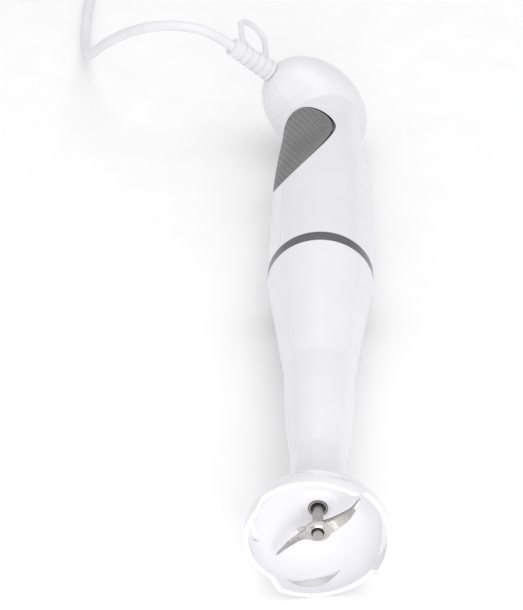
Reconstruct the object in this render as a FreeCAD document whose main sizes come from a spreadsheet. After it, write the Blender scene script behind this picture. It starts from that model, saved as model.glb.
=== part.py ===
"""Immersion blender with a bell guard, lying on a table with its trigger side up.

Everything but the lead is drawn upright in a design frame and then laid down:
+Z runs up the blender from the lowest tips of the guard's rim to the head, +X is the side
of the trigger and the cord, and +Y is the left side of a person who holds it.
Lengths are millimetres and angles are degrees.
"""
import FreeCAD, Part
import math
import os

import Sketcher
from FreeCAD import Placement, Rotation, Vector

doc = FreeCAD.newDocument("immersion_blender")
sheet = doc.addObject("Spreadsheet::Sheet", "Dimensions")
ROOT_AXIS, X_AXIS, Y_AXIS = -1, -1, -2
NODES = {}


# ---------------------------------------------------------------- sizes and expressions

class Size:
    """A length with its value and the spreadsheet expression that it comes from."""

    def __init__(self, value, text):
        self.value = value
        self.text = text

    def __add__(self, other):
        return combine(self, other, "+", self.value + number(other))

    def __radd__(self, other):
        return combine(other, self, "+", self.value + number(other))

    def __sub__(self, other):
        return combine(self, other, "-", self.value - number(other))

    def __rsub__(self, other):
        return combine(other, self, "-", number(other) - self.value)

    def __mul__(self, other):
        return combine(self, other, "*", self.value * number(other))

    def __rmul__(self, other):
        return combine(other, self, "*", self.value * number(other))

    def __truediv__(self, other):
        return combine(self, other, "/", self.value / number(other))


def number(size):
    return size.value if isinstance(size, Size) else float(size)


def words(size):
    return size.text if isinstance(size, Size) else repr(float(size))


ALIASES = []


def combine(left, right, sign, value):
    return Size(value, f"({words(left)} {sign} {words(right)})")


def dimension(alias, value, note):
    """Puts one driving dimension in the sheet and returns it as a Size."""
    row = len(ALIASES) + 1
    ALIASES.append(alias)
    sheet.set(f"A{row}", note)
    sheet.set(f"B{row}", str(value))
    sheet.setAlias(f"B{row}", alias)
    return Size(float(value), f"Dimensions.{alias}")


# the whole object
rest_tilt = dimension("rest_tilt", 1.25, "how far the lying blender's head end dips, degrees")
front_turn = dimension("front_turn", 140, "turn of the trigger side about the axis when it lies, degrees")
wall = dimension("wall_thick", 2.2, "casing wall")
# guard
guard_radius = dimension("guard_radius", 31.5, "outside of the bell guard")
guard_wall = dimension("guard_wall", 2.0, "wall of the bell guard")
tooth_rise = dimension("tooth_rise", 5.0, "height of the rim's ramps")
dome_base = dimension("dome_base", 3.5, "where the guard starts to close in")
dome_side = dimension("dome_side_radius", 20.7, "arc of the guard's side")
dome_top = dimension("dome_top_radius", 31.0, "arc of the guard's top")
vent_chord = dimension("vent_chord", 23.4, "length of each crescent vent")
hub_rim = dimension("hub_rim_radius", 5.3, "lower rim of the hub in the middle of the guard")
hub_flare = dimension("hub_flare_radius", 5.0, "hollow arc that blends the hub into the dome")
seal_base = dimension("seal_base", 23.5, "mouth of the shaft seal")
seal_radius = dimension("seal_radius", 4.3, "outside of the shaft seal")
# arm
neck_radius = dimension("neck_radius", 12.45, "outside of the arm's thin end")
neck_base = dimension("neck_base", 26.4, "where the arm stands on the guard")
neck_top = dimension("neck_top", 56.0, "end of the arm's straight neck")
flare_radius = dimension("flare_radius", 504.0, "hollow arc from the neck to the cone")
flare_top = dimension("flare_top", 119.0, "end of that arc")
cone_radius = dimension("cone_radius", 16.4, "arm's radius there")
arm_top = dimension("arm_top", 194.7, "top edge of the arm, at the ring")
grip_radius = dimension("grip_radius", 25.75, "outside of the ring and of the handle's foot")
ring_top = dimension("ring_top", 202.0, "top edge of the ring")
spigot_radius = dimension("spigot_radius", 23.0, "spigots of arm and handle inside the ring")
# handle
handle_mid = dimension("handle_mid", 255.0, "end of the handle's straight part")
handle_mid_radius = dimension("handle_mid_radius", 25.2, "its radius there")
waist_base = dimension("waist_base", 311.0, "where the handle's waist begins")
waist_radius = dimension("waist_base_radius", 22.4, "its radius there")
waist_top = dimension("waist_top", 328.0, "narrowest place, under the head")
waist_top_radius = dimension("waist_top_radius", 20.8, "its radius there")
shoulder_arc = dimension("shoulder_arc", 560.0, "arc from the straight part to the waist")
head_z = dimension("head_height", 359.0, "centre of the egg-shaped head")
head_forward = dimension("head_forward", 5.4, "how far that centre stands forward of the axis")
head_long = dimension("head_long_radius", 31.6, "half the head's long axis")
head_short = dimension("head_short_radius", 24.2, "half its short axis")
head_lift = dimension("head_lift", 15.0, "rise of the head's long axis, degrees")
# trigger
pad_z = dimension("pad_height", 305.0, "height of the egg-shaped trigger's widest place")
pad_rise = dimension("pad_rise", 30.5, "how far the trigger reaches above that")
pad_drop = dimension("pad_drop", 42.1, "how far it reaches below that")
pad_wide = dimension("pad_half_width", 20.7, "half its width, seen from the front")
pad_gap = dimension("pad_gap", 0.5, "gap round the trigger")
pad_thick = dimension("pad_thick", 1.4, "soft skin of the trigger")
lever_thick = dimension("lever_thick", 2.0, "rigid lever under it")
pivot_z = dimension("pivot_height", 258.5, "trigger pivot")
pivot_x = dimension("pivot_forward", 20.9, "trigger pivot, forward of the axis")
pivot_radius = dimension("pivot_radius", 0.9, "pivot pin")
post_z = dimension("post_height", 312.0, "lever's post, in line with the switch plunger")
spring_z = dimension("spring_height", 292.0, "return spring")
# drive
shaft_radius = dimension("shaft_radius", 2.4, "long drive shaft")
run_gap = dimension("running_gap", 0.03, "radial clearance of a running fit")
blade_base = dimension("blade_base", 7.4, "underside of the blade")
blade_thick = dimension("blade_thick", 1.2, "blade sheet")
blade_radius = dimension("blade_radius", 24.2, "blade tip")
hub_radius = dimension("hub_radius", 6.3, "middle of the blade")
can_radius = dimension("can_radius", 19.0, "motor can")
can_base = dimension("can_base", 206.0, "foot of the motor can")
can_top = dimension("can_top", 258.0, "top of the motor can")
can_wall = dimension("can_wall", 1.2, "sheet of the motor can")
core_radius = dimension("core_radius", 12.8, "armature core")
bearing_radius = dimension("bearing_radius", 5.0, "outside of bushes and bearings")
coupling_radius = dimension("coupling_radius", 7.0, "jaw couplings")
coupling_split = dimension("coupling_split", 190.3, "face of the upper coupling")
# cord
cord_radius = dimension("cord_radius", 2.75, "half the lead's thickness")
relief_length = dimension("relief_length", 26.6, "strain relief outside the head")
relief_base = dimension("relief_base_radius", 5.75, "its thick end")
relief_tip = dimension("relief_tip_radius", 4.9, "its thin end")
rib_groove = dimension("rib_groove", 0.35, "depth of the grooves between its ribs")
lead_start = dimension("lead_start", 28.2, "where the free lead begins, from the sleeve's foot")
loop_middle = dimension("loop_middle", 10.0, "hanging loop's centre line, along the sleeve")
loop_top = dimension("loop_top", 38.0, "its top, above the sleeve's axis")
loop_wide = dimension("loop_width", 19.6, "its width")
loop_thick = dimension("loop_thickness", 3.0, "thickness of its strap")
hole_wide = dimension("loop_hole_width", 13.8, "width of its hole")
hole_foot = dimension("loop_hole_foot", 10.2, "foot of its hole, above the sleeve's axis")
relief_dip = dimension("relief_dip", 7.0, "its tilt towards the guard, degrees")
relief_foot_x = dimension("relief_foot_forward", 36.6, "foot of the strain relief, forward of the axis")
relief_foot_z = dimension("relief_foot_height", 362.3, "foot of the strain relief")
coil_turn = dimension("coil_turn_radius", 30.0, "middle of the wound lead's turns")
coil_half = dimension("coil_half_width", 8.25, "half the width of the three turns side by side")
coil_high = dimension("coil_height", 11.0, "height of the two layers of turns")
pin_radius = dimension("pin_radius", 2.0, "plug pins")
pin_length = dimension("pin_length", 19.0, "plug pins, from the face to the tip")
pin_root = dimension("pin_root_radius", 1.7, "their thinner roots inside the plug")
doc.recompute()


# ---------------------------------------------------------------- drawing helpers

def new_body(name):
    body = doc.addObject("PartDesign::Body", name)
    body.Label = name
    return body


def origin_part(body, role):
    found = [f for f in body.Origin.OriginFeatures if f.Role == role]
    return found[0]


def new_sketch(body, name, role, offset=0, turn=0):
    """A sketch on one of the body's own planes, moved along its normal and turned about Z."""
    sketch = body.newObject("Sketcher::SketchObject", name)
    sketch.AttachmentSupport = (origin_part(body, role), [""])
    sketch.MapMode = "FlatFace"
    spin = Rotation(Vector(0, 1, 0), turn) if role != "XY_Plane" else Rotation(Vector(0, 0, 1), turn)
    sketch.AttachmentOffset = Placement(spin.multVec(Vector(0, 0, number(offset))), spin)
    if isinstance(offset, Size) and turn == 0:
        sketch.setExpression("AttachmentOffset.Base.z", offset.text)
    return sketch


def bind(sketch, kind, *where_and_size):
    """Adds one dimension to a sketch and ties it to the sheet."""
    *where, size = where_and_size
    index = sketch.addConstraint(Sketcher.Constraint(kind, *where, number(size)))
    if isinstance(size, Size):
        sketch.setExpression(f"Constraints[{index}]", size.text)


def pin_point(sketch, geometry, end, x, y):
    """Fixes a point by its distances from the sketch's origin."""
    if number(x) == 0:
        sketch.addConstraint(Sketcher.Constraint("PointOnObject", geometry, end, Y_AXIS))
    else:
        bind(sketch, "DistanceX", ROOT_AXIS, 1, geometry, end, x)
    if number(y) == 0:
        sketch.addConstraint(Sketcher.Constraint("PointOnObject", geometry, end, X_AXIS))
    else:
        bind(sketch, "DistanceY", ROOT_AXIS, 1, geometry, end, y)


def arc_between(start, end, radius):
    """The short arc from start to end. A radius above zero turns left on the way, below zero right."""
    half = (end - start).Length / 2
    along = (end - start).normalize()
    left = Vector(-along.y, along.x, 0)
    rise = math.sqrt(radius * radius - half * half)
    side = 1 if radius > 0 else -1
    centre = (start + end) / 2 + left * rise * side
    first, last = (start, end) if side > 0 else (end, start)
    angles = [math.atan2(p.y - centre.y, p.x - centre.x) for p in (first, last)]
    circle = Part.Circle(centre, Vector(0, 0, 1), abs(radius))
    return Part.ArcOfCircle(circle, angles[0], angles[1])


def draw_outline(sketch, corners):
    """Draws a closed outline. A corner is (x, y), or (x, y, radius) where an arc leads to the next."""
    ends = []
    for index, corner in enumerate(corners):
        after = corners[(index + 1) % len(corners)]
        start = Vector(number(corner[0]), number(corner[1]), 0)
        end = Vector(number(after[0]), number(after[1]), 0)
        if len(corner) == 2:
            ends.append((sketch.addGeometry(Part.LineSegment(start, end)), 1, 2))
            continue
        radius = number(corner[2])
        geometry = sketch.addGeometry(arc_between(start, end, radius))
        size = corner[2] if radius > 0 else 0 - corner[2]
        bind(sketch, "Radius", geometry, size)
        ends.append((geometry, 1, 2) if radius > 0 else (geometry, 2, 1))
    for index, corner in enumerate(corners):
        before = ends[index - 1]
        geometry, first, _ = ends[index]
        sketch.addConstraint(Sketcher.Constraint("Coincident", before[0], before[2], geometry, first))
        pin_point(sketch, geometry, first, corner[0], corner[1])


def draw_circle(sketch, x, y, radius):
    circle = Part.Circle(Vector(number(x), number(y), 0), Vector(0, 0, 1), number(radius))
    geometry = sketch.addGeometry(circle)
    bind(sketch, "Radius", geometry, radius)
    pin_point(sketch, geometry, 3, x, y)


def turn_outline(body, corners, tag="outline"):
    """Revolves an outline of (radius, height) corners about the blender's axis."""
    sketch = new_sketch(body, f"{body.Name}_{tag}", "XZ_Plane")
    draw_outline(sketch, corners)
    made = body.newObject("PartDesign::Revolution", f"{body.Name}_{tag}_turned")
    made.Profile = sketch
    made.ReferenceAxis = (sketch, ["V_Axis"])
    made.Angle = 360
    doc.recompute()
    return made


def lathe(name, *outlines):
    """A turned piece, made of one or more closed outlines."""
    body = new_body(name)
    for index, corners in enumerate(outlines):
        turn_outline(body, corners, f"outline_{index}")
    keep(name, body)
    return body


def tube(name, inner, outer, base, top):
    """A plain round tube or disc on the blender's axis."""
    return lathe(name, [(inner, base), (outer, base), (outer, top), (inner, top)])


def pad(body, sketch, length, tag="pad"):
    made = body.newObject("PartDesign::Pad", f"{body.Name}_{tag}")
    made.Profile = sketch
    made.Length = number(length)
    if isinstance(length, Size):
        made.setExpression("Length", length.text)
    doc.recompute()
    return made


def pocket(body, sketch, length, tag, forward=True):
    """Cuts a sketch out of the body, along its normal or against it, and checks that it cut."""
    doc.recompute()
    before = body.Shape.Volume
    made = body.newObject("PartDesign::Pocket", f"{body.Name}_{tag}")
    made.Profile = sketch
    made.Length = number(length)
    made.Reversed = forward
    doc.recompute()
    if not body.Shape.Volume < before - 1e-6:
        raise RuntimeError(f"{made.Name} cut nothing")
    return made


def around_axis(body, feature, count):
    """Repeats a feature evenly about Z."""
    made = body.newObject("PartDesign::PolarPattern", f"{feature.Name}_pattern")
    made.Originals = [feature]
    made.Axis = (origin_part(body, "Z_Axis"), [""])
    made.Angle = 360
    made.Occurrences = count
    body.Tip = made
    doc.recompute()
    return made


def keep(name, thing, placement=None):
    """Registers a finished sub-part under its node name, with its place in the design frame."""
    thing.Label = name
    NODES[name] = (thing, placement or Placement())
    return thing


def sized(kind, name, **sizes):
    """A Part primitive whose sizes are tied to the sheet."""
    thing = doc.addObject(kind, name)
    for key, size in sizes.items():
        setattr(thing, key, number(size))
        if isinstance(size, Size):
            thing.setExpression(key, size.text)
    return thing


def block(name, low, high):
    """A box between two corners."""
    spans = [end - start for start, end in zip(low, high)]
    thing = sized("Part::Box", name, Length=spans[0], Width=spans[1], Height=spans[2])
    place(thing, low)
    return thing


def place(thing, position, rotation=None):
    """Puts a primitive down at a position of Sizes or numbers."""
    thing.Placement = Placement(Vector(*[number(p) for p in position]), rotation or Rotation())
    doc.recompute()
    for letter, size in zip("xyz", position):
        if isinstance(size, Size):
            thing.setExpression(f"Placement.Base.{letter}", size.text)


def ease_edges(name, blank, size):
    """Chamfers the two round ends of a rod."""
    made = doc.addObject("Part::Chamfer", name)
    made.Base = blank
    rims = [i for i, edge in enumerate(blank.Shape.Edges, 1) if isinstance(edge.Curve, Part.Circle)]
    made.Edges = [(index, size, size) for index in rims]
    doc.recompute()
    return made


ALONG_X = Rotation(Vector(0, 1, 0), 90)
ALONG_Y = Rotation(Vector(1, 0, 0), -90)


def rod(name, radius, length, position, rotation=None):
    """A cylinder that starts at a position and runs along Z, or along the rotated Z."""
    thing = sized("Part::Cylinder", name, Radius=radius, Height=length)
    place(thing, position, rotation)
    return thing


def cut(name, base, *tools):
    for index, tool in enumerate(tools):
        made = doc.addObject("Part::Cut", f"{name}_cut_{index}")
        made.Base = base
        made.Tool = tool
        base = made
    doc.recompute()
    return base


def join(name, *things):
    made = doc.addObject("Part::MultiFuse", f"{name}_join")
    made.Shapes = list(things)
    made.Refine = True
    doc.recompute()
    return made


def overlap(name, *things):
    made = doc.addObject("Part::MultiCommon", f"{name}_common")
    made.Shapes = list(things)
    doc.recompute()
    return made


def solid_from(name, shape, placement=None):
    """A sub-part whose shape is worked out in code from the sheet's sizes."""
    thing = doc.addObject("Part::Feature", name)
    thing.Shape = shape
    return keep(name, thing, placement)


def spun_profile(name, corners):
    """A revolved outline outside any body, for the casings."""
    sketch = doc.addObject("Sketcher::SketchObject", f"{name}_outline")
    sketch.Placement = Placement(Vector(), Rotation(Vector(1, 0, 0), 90))
    draw_outline(sketch, corners)
    doc.recompute()
    made = doc.addObject("Part::Revolution", f"{name}_turned")
    made.Source = sketch
    made.Axis = Vector(0, 0, 1)
    made.Angle = 360
    made.Solid = True
    doc.recompute()
    return made


# ---------------------------------------------------------------- guard and arm

SECTOR_CENTRE = 38.0    # middle of one of the rim's four ramps, degrees from the front
TOOTH_COUNT = 4


def build_blade_guard():
    """Bell with a ramped rim, four crescent vents, and a hub that holds seal and bush."""
    body = new_body("blade_guard")
    side_x, side_z = 27.3, 16.0
    inside = guard_wall
    socket_top = 44.0
    turn_outline(body, [
        (guard_radius - inside, 0),
        (guard_radius, 0),
        (guard_radius, dome_base, dome_side),
        (side_x, side_z, dome_top),
        (neck_radius, neck_base),
        (10.3, neck_base),
        (10.3, socket_top),
        (6.0, socket_top),
        (6.0, socket_top - 2),
        (bearing_radius, socket_top - 2),
        (bearing_radius, 30),
        (3.4, 30),
        (3.4, 28),
        (seal_radius, 28),
        (seal_radius, seal_base),
        (hub_rim, seal_base, 0 - hub_flare),
        (9.5, 25.3, 0 - (dome_top - inside)),
        (25.7, 14.8, 0 - (dome_side - inside)),
        (guard_radius - inside, dome_base),
    ])
    half = 22.3
    step = 3.3
    ramp = new_sketch(body, "guard_ramp", "YZ_Plane")
    draw_outline(ramp, [(-half, -1), (half, -1), (half, 0), (step - half, tooth_rise), (-half, 0)])
    around_axis(body, pocket(body, ramp, 40, "ramp"), TOOTH_COUNT)
    reach = vent_chord / 2
    vent = new_sketch(body, "guard_vent", "YZ_Plane", turn=16)
    vent_top, vent_low = 12.9, 7.0
    draw_outline(vent, [(0 - reach, vent_top, 20), (reach, vent_low, 42)])
    around_axis(body, pocket(body, vent, 40, "vent"), TOOTH_COUNT)
    keep("blade_guard", body, Placement(Vector(), Rotation(Vector(0, 0, 1), SECTOR_CENTRE)))


def build_arm():
    """Tapered arm casing, open through, with a spigot at the top that the ring sits on."""
    inner_top = 190.0
    lathe("arm_shell", [
        (neck_radius - 2, neck_base),
        (neck_radius, neck_base),
        (neck_radius, neck_top, flare_radius),
        (cone_radius, flare_top),
        (25.35, 191.0),
        (grip_radius, arm_top),
        (spigot_radius, arm_top),
        (spigot_radius, arm_top + 3.6),
        (spigot_radius - 2, arm_top + 3.6),
        (spigot_radius - 2, inner_top),
        (cone_radius - 2.05, flare_top, 0 - (flare_radius + 2)),
        (neck_radius - 2, neck_top),
    ])
    lathe("trim_ring", [
        (spigot_radius + 0.05, arm_top),
        (grip_radius - 0.3, arm_top),
        (grip_radius, arm_top + 0.3),
        (grip_radius, ring_top - 0.3),
        (grip_radius - 0.3, ring_top),
        (spigot_radius + 0.05, ring_top),
    ])
    tube("shaft_tube", bearing_radius, 6.0, 42.0, 168.0)
    tube("lower_bush", shaft_radius + run_gap, bearing_radius, 30.0, 42.0)
    tube("upper_bush", shaft_radius + run_gap, bearing_radius, 158.0, 168.0)
    low, high = 164.0, 167.5
    lathe("arm_bulkhead", [
        (6.0, low),
        (cone_wall_at(low, inner_top) - 0.05, low),
        (cone_wall_at(high, inner_top) - 0.05, high),
        (6.0, high),
    ])
    lathe("shaft_seal", [
        (shaft_radius + run_gap, seal_base + 0.9),
        (3.3, seal_base + 0.9),
        (3.5, seal_base - 0.4),
        (seal_radius, seal_base - 0.4),
        (seal_radius, 28.0),
        (shaft_radius + run_gap, 28.0),
    ])


def cone_wall_at(height, top):
    """Inner radius of the arm's cone at a height, below its top end."""
    foot_radius, foot = cone_radius.value - 2.05, flare_top.value
    top_radius = spigot_radius.value - 2
    return foot_radius + (top_radius - foot_radius) * (height - foot) / (top - foot)


# ---------------------------------------------------------------- blade and drive line

def build_blade():
    """Two swept wings on a round middle; each wing has a straight cutting edge on one side."""
    body = new_body("blade")
    sketch = new_sketch(body, "blade_outline", "XY_Plane", offset=blade_base)
    root_x, root_y = 3.0, 5.54
    edge_x, edge_y = 5.6, 2.89
    neck_x, neck_y = 8.6, 0.7
    draw_outline(sketch, [
        (blade_radius, 0, 21.5),
        (root_x, root_y, hub_radius),
        (-edge_x, edge_y),
        (-neck_x, neck_y),
        (0 - blade_radius, 0, 21.5),
        (-root_x, -root_y, hub_radius),
        (edge_x, -edge_y),
        (neck_x, -neck_y),
    ])
    pad(body, sketch, blade_thick)
    hole = new_sketch(body, "blade_hole", "XY_Plane", offset=blade_base - 1)
    draw_circle(hole, 0, 0, 1.35)
    pocket(body, hole, 4, "hole")
    keep("blade", body, Placement(Vector(), Rotation(Vector(0, 0, 1), BLADE_TURN)))


BLADE_TURN = 95.0       # a cutting edge, degrees from the front
JAW_COUNT = 3
POLE_COUNT = 5


def build_drive():
    """Shaft, couplings and the turning half of the motor: all one turning body."""
    blade_top = blade_base + blade_thick
    lathe("drive_shaft", [
        (0, blade_base - 2.2),
        (2.0, blade_base - 2.2),
        (2.2, blade_base - 1.8),
        (2.2, blade_base),
        (1.35, blade_base),
        (1.35, blade_top),
        (shaft_radius, blade_top),
        (shaft_radius, 181.0),
        (0, 181.0),
    ])
    build_coupling("shaft_coupling", shaft_radius, 175.0, coupling_split - 5.3, 0)
    build_coupling("motor_coupling", MOTOR_SHAFT, 199.0, coupling_split, 60)
    lathe("motor_shaft", [(0, 191.0), (MOTOR_SHAFT, 191.0), (MOTOR_SHAFT, 265.0), (0, 265.0)])
    build_armature()


MOTOR_SHAFT = 2.5


def build_coupling(name, bore, far_face, jaw_face, turn):
    """One half of a jaw coupling: a bored disc with three jaws that reach between the other's."""
    body = new_body(name)
    low, high = sorted([far_face, jaw_face.value])
    disc = new_sketch(body, f"{name}_disc", "XY_Plane", offset=low)
    draw_circle(disc, 0, 0, coupling_radius)
    draw_circle(disc, 0, 0, bore)
    pad(body, disc, high - low, "disc")
    jaw_base = high if far_face < jaw_face.value else low - 5
    jaw = new_sketch(body, f"{name}_jaw", "XY_Plane", offset=jaw_base, turn=turn)
    inner, half_angle = 3.2, math.radians(27)
    outer = coupling_radius.value
    across, along = math.sin(half_angle), math.cos(half_angle)
    draw_outline(jaw, [
        (inner * along, -inner * across),
        (outer * along, -outer * across, coupling_radius),
        (outer * along, outer * across),
        (inner * along, inner * across, -inner),
    ])
    around_axis(body, pad(body, jaw, 5, "jaw"), JAW_COUNT)
    keep(name, body)


def build_armature():
    core_low, core_high = 216.0, 248.0
    body = new_body("armature_core")
    disc = new_sketch(body, "core_disc", "XY_Plane", offset=core_low)
    draw_circle(disc, 0, 0, core_radius)
    draw_circle(disc, 0, 0, MOTOR_SHAFT)
    pad(body, disc, core_high - core_low)
    slot = new_sketch(body, "core_slot", "XY_Plane", offset=core_low)
    draw_outline(slot, [(5.0, -1.4), (9.5, -3.9), (11.0, -3.9), (11.4, -0.9), (13.4, -0.9),
                        (13.4, 0.9), (11.4, 0.9), (11.0, 3.9), (9.5, 3.9), (5.0, 1.4)])
    around_axis(body, pocket(body, slot, core_high - core_low, "slot"), POLE_COUNT)
    keep("armature_core", body)

    coils = new_body("armature_windings")
    end_turn = 4.6
    for tag, low, high in (("low", core_low - end_turn, core_low), ("high", core_high, core_high + 3.6)):
        corner = 1.2
        inner, outer = 3.4, 11.2
        if tag == "low":
            outline = [(inner, low), (outer - corner, low), (outer, low + corner),
                       (outer, high), (inner, high)]
        else:
            outline = [(inner, low), (outer, low), (outer, high - corner),
                       (outer - corner, high), (inner, high)]
        turn_outline(coils, outline, tag)
        if tag == "low":
            bars = new_sketch(coils, "winding_bar", "XY_Plane", offset=core_low)
            draw_outline(bars, [(5.3, -1.2), (9.6, -3.6), (10.8, -3.6),
                                (10.8, 3.6), (9.6, 3.6), (5.3, 1.2)])
            around_axis(coils, pad(coils, bars, core_high - core_low, "bar"), POLE_COUNT)
    keep("armature_windings", coils)

    commutator = new_body("commutator")
    disc = new_sketch(commutator, "commutator_disc", "XY_Plane", offset=252.2)
    draw_circle(disc, 0, 0, 5.0)
    draw_circle(disc, 0, 0, MOTOR_SHAFT)
    pad(commutator, disc, 5.0)
    gap = new_sketch(commutator, "commutator_gap", "XY_Plane", offset=252.2)
    draw_outline(gap, [(4.0, -0.2), (5.6, -0.2), (5.6, 0.2), (4.0, 0.2)])
    around_axis(commutator, pocket(commutator, gap, 5.0, "gap"), POLE_COUNT)
    keep("commutator", commutator)


# ---------------------------------------------------------------- motor, the still half

def build_motor_case():
    boss_top, boss_low = can_base, can_base - 3.6
    bore = 5.0
    lathe("motor_can", [
        (4.0, boss_low),
        (6.2, boss_low),
        (6.2, boss_top),
        (can_radius, can_base),
        (can_radius, can_top),
        (can_radius - can_wall, can_top),
        (can_radius - can_wall, can_base + can_wall),
        (bore, can_base + can_wall),
        (bore, boss_low + 0.6),
        (4.0, boss_low + 0.6),
    ])
    lathe("motor_end_cap", [
        (bore, can_top),
        (can_radius, can_top),
        (can_radius, can_top + 1.6),
        (can_radius - 1.0, can_top + 2.6),
        (6.4, can_top + 2.6),
        (6.4, can_top + 5.6),
        (bore, can_top + 5.6),
    ])
    body = new_body("motor_bearings")
    bearing = MOTOR_SHAFT + 0.03
    low, high = boss_low.value + 0.6, can_top.value
    turn_outline(body, [(bearing, low), (bearing_radius, low),
                        (bearing_radius, low + 4), (bearing, low + 4)], "low")
    first = keep("motor_bearings", body)
    first.AllowCompound = True
    turn_outline(body, [(bearing, high), (bearing_radius, high),
                        (bearing_radius, high + 5), (bearing, high + 5)],
                 "high")
    tube("lower_motor_mount", can_radius, 22.9, 207.5, 212.5)
    tube("upper_motor_mount", can_radius, 22.6, 247.0, 252.0)


def build_magnets():
    """Two curved magnets inside the can, either side of the armature."""
    inner, outer, low, high = 13.4, 17.8, 213.0, 251.0
    spread = 62.0
    halves = []
    for turn in (90.0, 270.0):
        section = Part.makeCylinder(outer, high - low, Vector(0, 0, low), Vector(0, 0, 1), 2 * spread)
        hollow = Part.makeCylinder(inner, high - low, Vector(0, 0, low), Vector(0, 0, 1), 360)
        arc = section.cut(hollow)
        arc.rotate(Vector(), Vector(0, 0, 1), turn - spread)
        halves.append(arc)
    solid_from("field_magnets", Part.makeCompound(halves))


def build_brushes():
    """Carbon brushes on leaf springs that hang from the end cap."""
    near, far, half = 5.02, 9.6, 1.7
    low, high = 253.0, 256.4
    brushes = []
    leaves = []
    for side in (1, -1):
        start = min(side * near, side * far)
        brushes.append(Part.makeBox(far - near, 2 * half, high - low, Vector(start, -half, low)))
        leaf_start = far if side > 0 else -far - 0.5
        leaves.append(Part.makeBox(0.5, 3.0, can_top.value - low, Vector(leaf_start, -1.5, low)))
    solid_from("carbon_brushes", Part.makeCompound(brushes))
    solid_from("brush_springs", Part.makeCompound(leaves))


# ---------------------------------------------------------------- handle

def handle_outline(inset, low, high):
    """Handle profile from one height to another, moved inwards by inset."""
    return [
        (0, low),
        (grip_radius - inset, low),
        (grip_radius - inset, ring_top + 5),
        (handle_mid_radius - inset, handle_mid, shoulder_arc - inset),
        (waist_radius - inset, waist_base),
        (waist_top_radius - inset, waist_top),
        (waist_top_radius - inset, high),
        (0, high),
    ]


def head_egg(name, inset):
    thing = sized("Part::Ellipsoid", name, Radius1=head_long - inset, Radius2=head_short - inset,
                  Radius3=head_short - inset)
    place(thing, (head_forward, 0, head_z), Rotation(Vector(0, 1, 0), 90 - head_lift.value))
    return thing


EGG_DEEP, EGG_ROOM = 30, 60


def front_egg(name, grow, start):
    """An egg-shaped prism along +X from start, as large as the trigger plus grow."""
    halves = []
    for half, reach, base in (("upper", pad_rise, 0), ("lower", pad_drop, -EGG_ROOM)):
        oval = sized("Part::Ellipse", f"{name}_{half}_oval",
                     MajorRadius=reach + grow, MinorRadius=pad_wide + grow)
        place(oval, (start, 0, pad_z), Rotation(Vector(0, 1, 0), 90))
        prism = doc.addObject("Part::Extrusion", f"{name}_{half}_prism")
        prism.Base = oval
        prism.DirMode = "Custom"
        prism.Dir = Vector(1, 0, 0)
        prism.LengthFwd = EGG_DEEP
        prism.Solid = True
        room = block(f"{name}_{half}_room", (start - 1, -EGG_ROOM, pad_z + base),
                     (start + EGG_DEEP + 1, EGG_ROOM, pad_z + base + EGG_ROOM))
        halves.append(overlap(f"{name}_{half}", prism, room))
    return join(f"{name}_egg", *halves)


SCREW_PLACES = ((-15.5, 275.0), (-14.0, 325.0), (-8.0, 372.0))
BOSS = 3.9
RAIL_LOW, RAIL_HIGH = 284.0, 334.0
CLAMP_FRONT, CLAMP_BACK = 17.0, 9.0


def build_casing_ribs(outer):
    """What the half shells carry inside: screw posts, pivot cheeks, rails and the lead's seat."""
    posts = [rod(f"boss_{i}", BOSS, 50, (x, -25, z), ALONG_Y) for i, (x, z) in enumerate(SCREW_PLACES)]
    posts.append(block("pivot_cheeks", (18.9, -8.6, 255.8), (24.5, 8.6, 261.2)))
    rails = block("bracket_rails", (-0.6, -25, RAIL_LOW), (7.0, 25, RAIL_HIGH))
    rail_gap = block("rail_gap", (-1, -16.4, RAIL_LOW - 1), (8, 16.4, RAIL_HIGH + 1))
    board_rails = block("board_rails", (-8.4, -25, 268.0), (-3.4, 25, 282.0))
    board_gap = block("board_rail_gap", (-9, -15.9, 267.0), (-3, 15.9, 283.0))
    posts.append(cut("bracket_rail", rails, rail_gap))
    posts.append(cut("board_rail", board_rails, board_gap))
    posts.append(block("clamp_seat", (CLAMP_BACK, -25, 355.0), (CLAMP_FRONT, 25, CLAMP_SEAT)))
    return overlap("casing_ribs", join("casing_posts", *posts), outer)


CLAMP_SEAT = 365.2


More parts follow.
